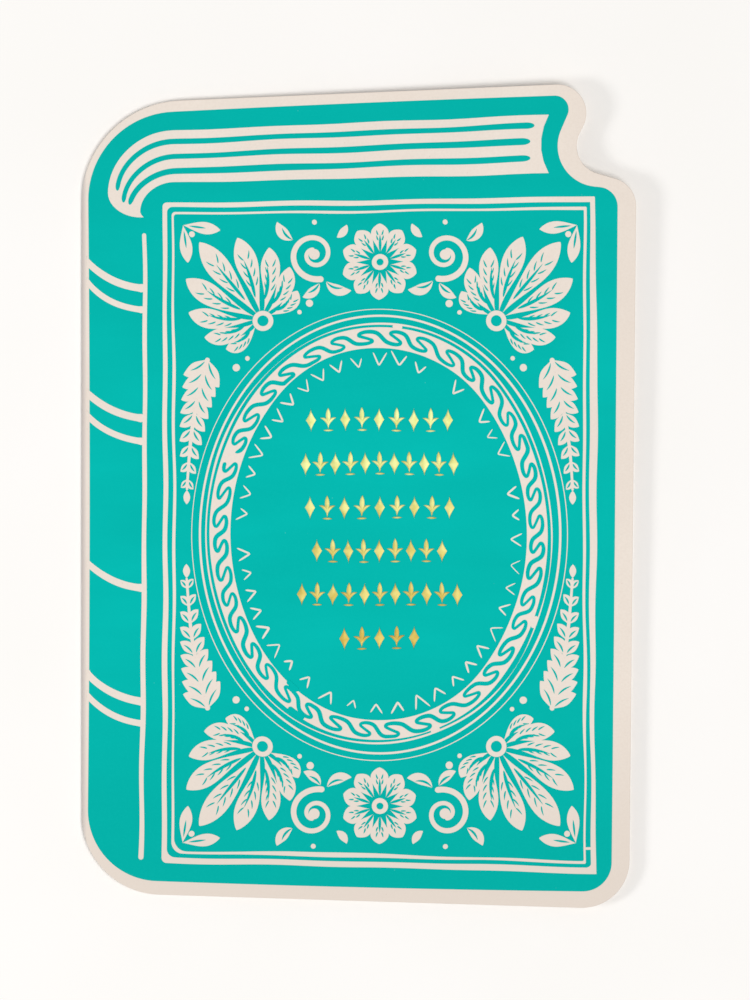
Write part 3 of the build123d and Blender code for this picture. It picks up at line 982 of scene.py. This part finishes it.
# %% [markdown]
# ## One quarter of the ornament, mirrored to four
#
# Each corner of the cover holds a palmette, a fan of lobes round an eye. At head and tail is a rosette
# between two scrolls, and a spray of leaves runs down each side. All of it is traditional ornament, laid out
# once in one quarter of the cover. Mirror modifiers could make the rest, but the marks' heights follow the
# leaf and can't be mirrored, so the places are mirrored before they are laid.
#
# The teal strokes on the cream follow the way each form grows, as an engraver's do: one along the middle of a
# leaf, and pairs of short ones that leave it.

# %% Mirroring and veins
four_ways = ((1, 1), (-1, 1), (1, -1), (-1, -1))
two_ways = ((1, 1), (1, -1))


def mirrored(shapes, ways):
    """Shapes drawn about the cover's middle, each copied for every pair of signs of its x and its y."""
    return [oval_middle + shape * np.reshape(ways, (-1, *[1] * (shape.ndim - 1), 2)) for shape in shapes]


def veins(root, angle, length, width, bend, shares, reach, lean=24.0):
    """Short strokes beside the middle lines of leaves, in pairs at the given shares of their length.

    A pair starts at the leaf's parabola, a tenth of the leaf's width to either side, and leans outwards.
    """
    ahead, marks = turned(angle), []
    for share in shares:
        aside = bend * 4 * share * (1 - share)
        place = root + (length * share)[:, None] * ahead + (length * aside)[:, None] * left_of(ahead)
        heading = angle + np.degrees(np.arctan(bend * 4 * (1 - 2 * share)))
        for side in (-1, 1):
            start = place + turned(heading + side * 90) * (width * 0.1)[:, None]
            vein_angle = heading + side * lean
            marks.append(leaves(start, vein_angle, reach * width, 0.34, side * 0.05, 0.35, 0.7, count=10))
    return marks


print("copies of a mark:", len(four_ways), "about both middle lines,", len(two_ways), "on the upright one")

# %% [markdown]
# ## Palmettes
#
# Nine lobes fan out from an eye, even in angle, and the further a lobe is from the fan's middle, the shorter
# and more bent it is. Placed one by one, nine lobes take nine sets of numbers. As runs of numbers, they take
# one call.

# %% Palmettes
fan_eye, fan_middle, lobe_step = np.array([25.6, 46.6]), 51.0, 22.0
lobe = np.arange(-4, 5)
lobe_angle = fan_middle + lobe_step * lobe
lobe_length, lobe_width, lobe_bend = 20.2 - 3.0 * abs(lobe), 5.2 - 0.45 * abs(lobe), 0.03 * lobe
lobe_root = fan_eye + 2.0 * turned(lobe_angle)
lobes = leaves(lobe_root, lobe_angle, lobe_length, lobe_width, lobe_bend, 0.68, 0.78)
rib_root = lobe_root + 0.2 * lobe_length[:, None] * turned(lobe_angle)
ribs = leaves(rib_root, lobe_angle, lobe_length * 0.5, 0.75, lobe_bend, 0.35, 0.8)
lobe_veins = veins(lobe_root, lobe_angle, lobe_length, lobe_width, lobe_bend, (0.34, 0.46, 0.58, 0.7), 0.42)
palmette = [lobes, discs(fan_eye, 2.25)]
palmette_cuts = [ribs, *lobe_veins, discs(fan_eye, 1.2)]
palmettes = lay("palmettes", mirrored(palmette, four_ways), cream_lift, stock)
palmette_marks = lay("palmette_marks", mirrored(palmette_cuts, four_ways), detail_lift, ink)

# %% [markdown]
# ## Rosettes
#
# A rosette is ten equal leaves round an eye. It could be one leaf and an array about an empty, but the call
# that fans out the lobes can turn these leaves too. The rosette stands on the cover's upright middle line, so
# it is mirrored only once, to the tail.

# %% Rosettes
rosette_eye, petals_round = np.array([0.0, 59.6]), 10
petal_angle = 18 + 360 / petals_round * np.arange(petals_round)
petal_root = rosette_eye + 2.0 * turned(petal_angle)
petal_length, petal_width = np.full(petals_round, 6.4), np.full(petals_round, 3.95)
petals = leaves(petal_root, petal_angle, petal_length, petal_width, 0.0, 0.66, 0.72)
petal_ribs = leaves(petal_root, petal_angle, petal_length * 0.62, 0.6, 0.0, 0.45, 0.9)
straight = np.zeros(petals_round)
petal_veins = veins(petal_root, petal_angle, petal_length, petal_width, straight, (0.42, 0.6), 0.3, 18.0)
rosette = [petals, discs(rosette_eye, 1.75)]
rosette_cuts = [petal_ribs, *petal_veins, discs(rosette_eye, 0.75)]
rosettes = lay("rosettes", mirrored(rosette, two_ways), cream_lift, stock)
rosette_marks = lay("rosette_marks", mirrored(rosette_cuts, two_ways), detail_lift, ink)

# %% [markdown]
# ## Scrolls
#
# A scroll is a spiral: as its angle grows evenly, its distance from the eye shrinks. It could be a screw
# modifier's work, but a stroke along a spiral also thins on its way in. Four small leaves and three berries
# fill the corners round it.

# %% Scrolls
scroll_eye = np.array([14.3, 61.2])
winding = np.linspace(0, 1, 80)
scroll_path = scroll_eye + (5.6 - 4.6 * winding[:, None] ** 0.85) * turned(-112 + 560 * winding)
scroll_leaves = np.array(
    [
        (11.6, 55.4, -160.0, 5.8, 2.4, 0.16),
        (13.1, 55.0, -40.0, 4.8, 2.1, -0.12),
        (19.0, 64.4, 48.0, 5.2, 2.4, -0.12),
        (9.4, 65.0, 128.0, 3.6, 1.7, 0.1),
    ]
)
leaf_roots = scroll_leaves[:, :2]
leaf_angles, leaf_lengths, leaf_widths, leaf_bends = scroll_leaves[:, 2:].T
scroll = [
    stroke(scroll_path, (1.3, 1.2, 1.0, 0.85), 90),
    discs(scroll_eye, 1.15),
    leaves(leaf_roots, leaf_angles, leaf_lengths, leaf_widths, leaf_bends, 0.5),
    *berries((15.3, 50.6, 0.8), (17.6, 48.6, 0.5), (14.4, 68.3, 0.55)),
]
scroll_cuts = leaves(leaf_roots[:3], leaf_angles[:3], leaf_lengths[:3] * 0.68, 0.5, leaf_bends[:3], 0.5)
scrolls = lay("scrolls", mirrored(scroll, four_ways), cream_lift, stock)
scroll_marks = lay("scroll_marks", mirrored([scroll_cuts], four_ways), detail_lift, ink)

# %% [markdown]
# ## Sprays
#
# The stem of a spray is a parabola through two ends and a pull between them. Pairs of leaves leave it at even
# steps, and become smaller and lie closer to the stem towards its tip. Scattered leaves would stand at one
# size, where here size and angle fall off by the share of the way. In each corner stands one more pair of
# leaves with a berry between them.

# %% Sprays
way = np.linspace(0, 1, 60)[:, None]
stem_root, stem_pull, stem_tip = np.array([(37.6, 38.6), (41.2, 27.5), (42.3, 9.6)])
stem = (1 - way) ** 2 * stem_root + 2 * way * (1 - way) * stem_pull + way**2 * stem_tip
stem_heading = np.degrees(np.arctan2(*np.gradient(stem, axis=0).T[::-1]))
pairs = 9
pair = np.linspace(0.02, 0.93, pairs)
pair_place = together(*[np.interp(pair, way[:, 0], stem[:, axis]) for axis in (0, 1)])
pair_heading = np.interp(pair, way[:, 0], stem_heading)
spray, spray_cuts = [stroke(stem, (1.1, 0.9, 0.7, 0.5))], []
for side, room in ((-1, 0.9), (1, 0.85)):
    leaf_angle = pair_heading + side * (42 - 8 * pair)
    leaf_length, leaf_width = (7.4 - 4.9 * pair) * room, (3.5 - 2.1 * pair) * np.sqrt(room)
    leaf_bend = np.full(pairs, -side * 0.08)
    spray.append(leaves(pair_place, leaf_angle, leaf_length, leaf_width, leaf_bend, 0.52))
    rib_start = pair_place + 0.7 * turned(leaf_angle)
    spray_cuts.append(leaves(rib_start, leaf_angle, leaf_length * 0.6, 0.42, leaf_bend, 0.45))
spray.append(leaves(stem[-1], -90.0, 3.0, 1.5, 0.0, 0.5))
spray += berries((31.4, 36.4, 0.8), (29.0, 38.4, 0.5), (41.2, 65.6, 0.65))
corner_root, corner_angles = np.array([43.1, 67.6]), np.array([187.0, 263.0])
spray.append(leaves(corner_root, corner_angles, 8.2, 2.7, 0.0, 0.6))
spray_cuts.append(leaves(corner_root + 1.3 * turned(corner_angles), corner_angles, 3.8, 0.45, 0.0, 0.5))
sprays = lay("sprays", mirrored(spray, four_ways), cream_lift, stock)
spray_marks = lay("spray_marks", mirrored(spray_cuts, four_ways), detail_lift, ink)

# %% [markdown]
# ## The foil
#
# Inside the oval stand six rows of foil ornament: pointed lozenges with hollow sides, and between them small
# sprigs, each on a short foot. The die presses the foil in, and its edges round over, so each mark is a
# little domed. It could be a flat sheet with a bump in its material, but then every mark would mirror the
# same spot of the room and look like flat yellow paint.

# %% Foil ornament
crown, crown_columns = 0.07, 7


def lozenges(middles, width, height, hollow, count=21):
    """Upright lozenges whose half-width falls off with the distance from the middle, raised to a power."""
    up = np.sin(np.linspace(-np.pi / 2, np.pi / 2, count))
    half = np.maximum(width / 2 * (1 - abs(up)) ** hollow, thinnest)
    across = np.linspace(-1, 1, crown_columns)
    mark = together(half[:, None] * across, (up * height / 2)[:, None])
    return np.asarray(middles)[..., None, None, :] + mark


sprig_drop = 2.3
sprig = (
    ((0, 0.15), 90, 4.85, 1.0, 0, 0.64, 0.9),
    ((0, 0.4), 127, 3.0, 0.72, -0.24, 0.55, 0.8),
    ((0, 0.4), 53, 3.0, 0.72, 0.24, 0.55, 0.8),
    ((-1.1, 0), 0, 2.2, 0.45, 0, 0.5, 0.8),
)
foil_shapes = []
for row_height, count, pitch in (
    (25.0, 9, 3.75),
    (15.4, 11, 3.25),
    (5.8, 9, 3.8),
    (-3.7, 9, 3.45),
    (-13.2, 11, 3.4),
    (-22.8, 5, 3.8),
):
    x = (np.arange(count) - (count - 1) / 2) * pitch
    middles = oval_middle + together(x, row_height)
    upright, foot = middles[0::2], middles[1::2] - (0, sprig_drop)
    foil_shapes.append(lozenges(upright, width=2.2, height=5.2, hollow=1.6))
    foil_shapes += [leaves(foot + start, *leaf, columns=crown_columns) for start, *leaf in sprig]
foil_grids = []
for shape in foil_shapes:
    plan = by_hand(shape)
    dome = crown * (1 - np.linspace(-1, 1, plan.shape[-2]) ** 2)
    foil_grids.append(raised(plan, leaf_height(plan) + foil_lift + dome))
foil_rows = grid_mesh("foil_rows", foil_grids, foil, upwards=True)

# %% [markdown]
# ## Who stands for what
#
# The new board takes the place of the solid one, the teal field that of the printed film, and the foil rows
# that of the stamped film. Every piece rides on the card's one body, so it moves with it.

# %% Riding and replacing
cream_marks = (page_block, spine_marks, double_rule, oval_rings, chevron_marks)
cream_ornament = (palmettes, rosettes, scrolls, sprays)
teal_marks = (page_line_marks, wave_line, band_runouts)
teal_ornament = (palmette_marks, rosette_marks, scroll_marks, spray_marks)
for piece in (card_board, *cream_marks, *cream_ornament):
    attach(piece, "root")
for piece in (ink_field, *teal_marks, *teal_ornament):
    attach(piece, "root")
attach(foil_rows, "root")
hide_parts("card")
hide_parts("cover_ink")
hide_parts("foil_ornament")

# %% [markdown]
# ## Table, light and camera
#
# The card lies on a pale table. Most of the light is a broad lamp high above, a little past the fore-edge, so
# that the round fold is a shade darker. A weak, low lamp on the fold's side draws the soft shadow beside the
# raised fore-edge and in the hollow at its head. The sky is even and dim, and the three together show colours
# about as they are written.

# %% Table
table = Finish("pale_table", 0.9, 0.2)
table.colour = table.mix(table.clouds(60, 2, 0.3, 0.7), srgb(251, 249, 246), srgb(253, 251, 249))
spread = line((-1500, 0), (1500, 0), 9)[:, 0]
table_plan = together(spread[:, None], spread)
table_top = grid_mesh("table_top", [raised(table_plan, -0.02)], table.done(), upwards=True)

# %% Light
world = bpy.data.worlds.new("even_sky")
bpy.context.scene.world = world
world.use_nodes = True
sky = world.node_tree.nodes["Background"].inputs
sky["Color"].default_value = (1.0, 0.99, 0.97, 1.0)
sky["Strength"].default_value = 0.31


def lamp(name, place, size, power):
    """A square lamp that looks at the middle of the card."""
    data = bpy.data.lights.new(name, "AREA")
    data.size, data.energy = size, power
    light = bpy.data.objects.new(name, data)
    light.location = place
    light.rotation_mode = "QUATERNION"
    light.rotation_quaternion = (-Vector(place)).to_track_quat("-Z", "Y")
    bpy.context.collection.objects.link(light)
    print(f"{name}: {power} W, {size} m wide")


lamp("overhead_lamp", (0.5, -0.25, 2.6), 1.0, 41.5)
lamp("window_lamp", (-1.0, -0.2, 0.87), 0.3, 4.1)

# %% Camera
picture_height, pixels_per_mm = 1000, 4.57
sensor, camera_distance = 36, 2.0
middle_x, middle_y, mean_height = 3.56, -0.86, 5
camera_data = bpy.data.cameras.new("camera")
camera_data.sensor_width = sensor
camera_data.lens = sensor * camera_distance / (picture_height / pixels_per_mm * MM)
camera = bpy.data.objects.new("camera", camera_data)
camera.location = (middle_x * MM, middle_y * MM, camera_distance + mean_height * MM)
bpy.context.collection.objects.link(camera)
bpy.context.scene.camera = camera
bpy.context.scene.view_settings.view_transform = "Standard"
print("camera lens:", round(camera_data.lens, 1), "mm")
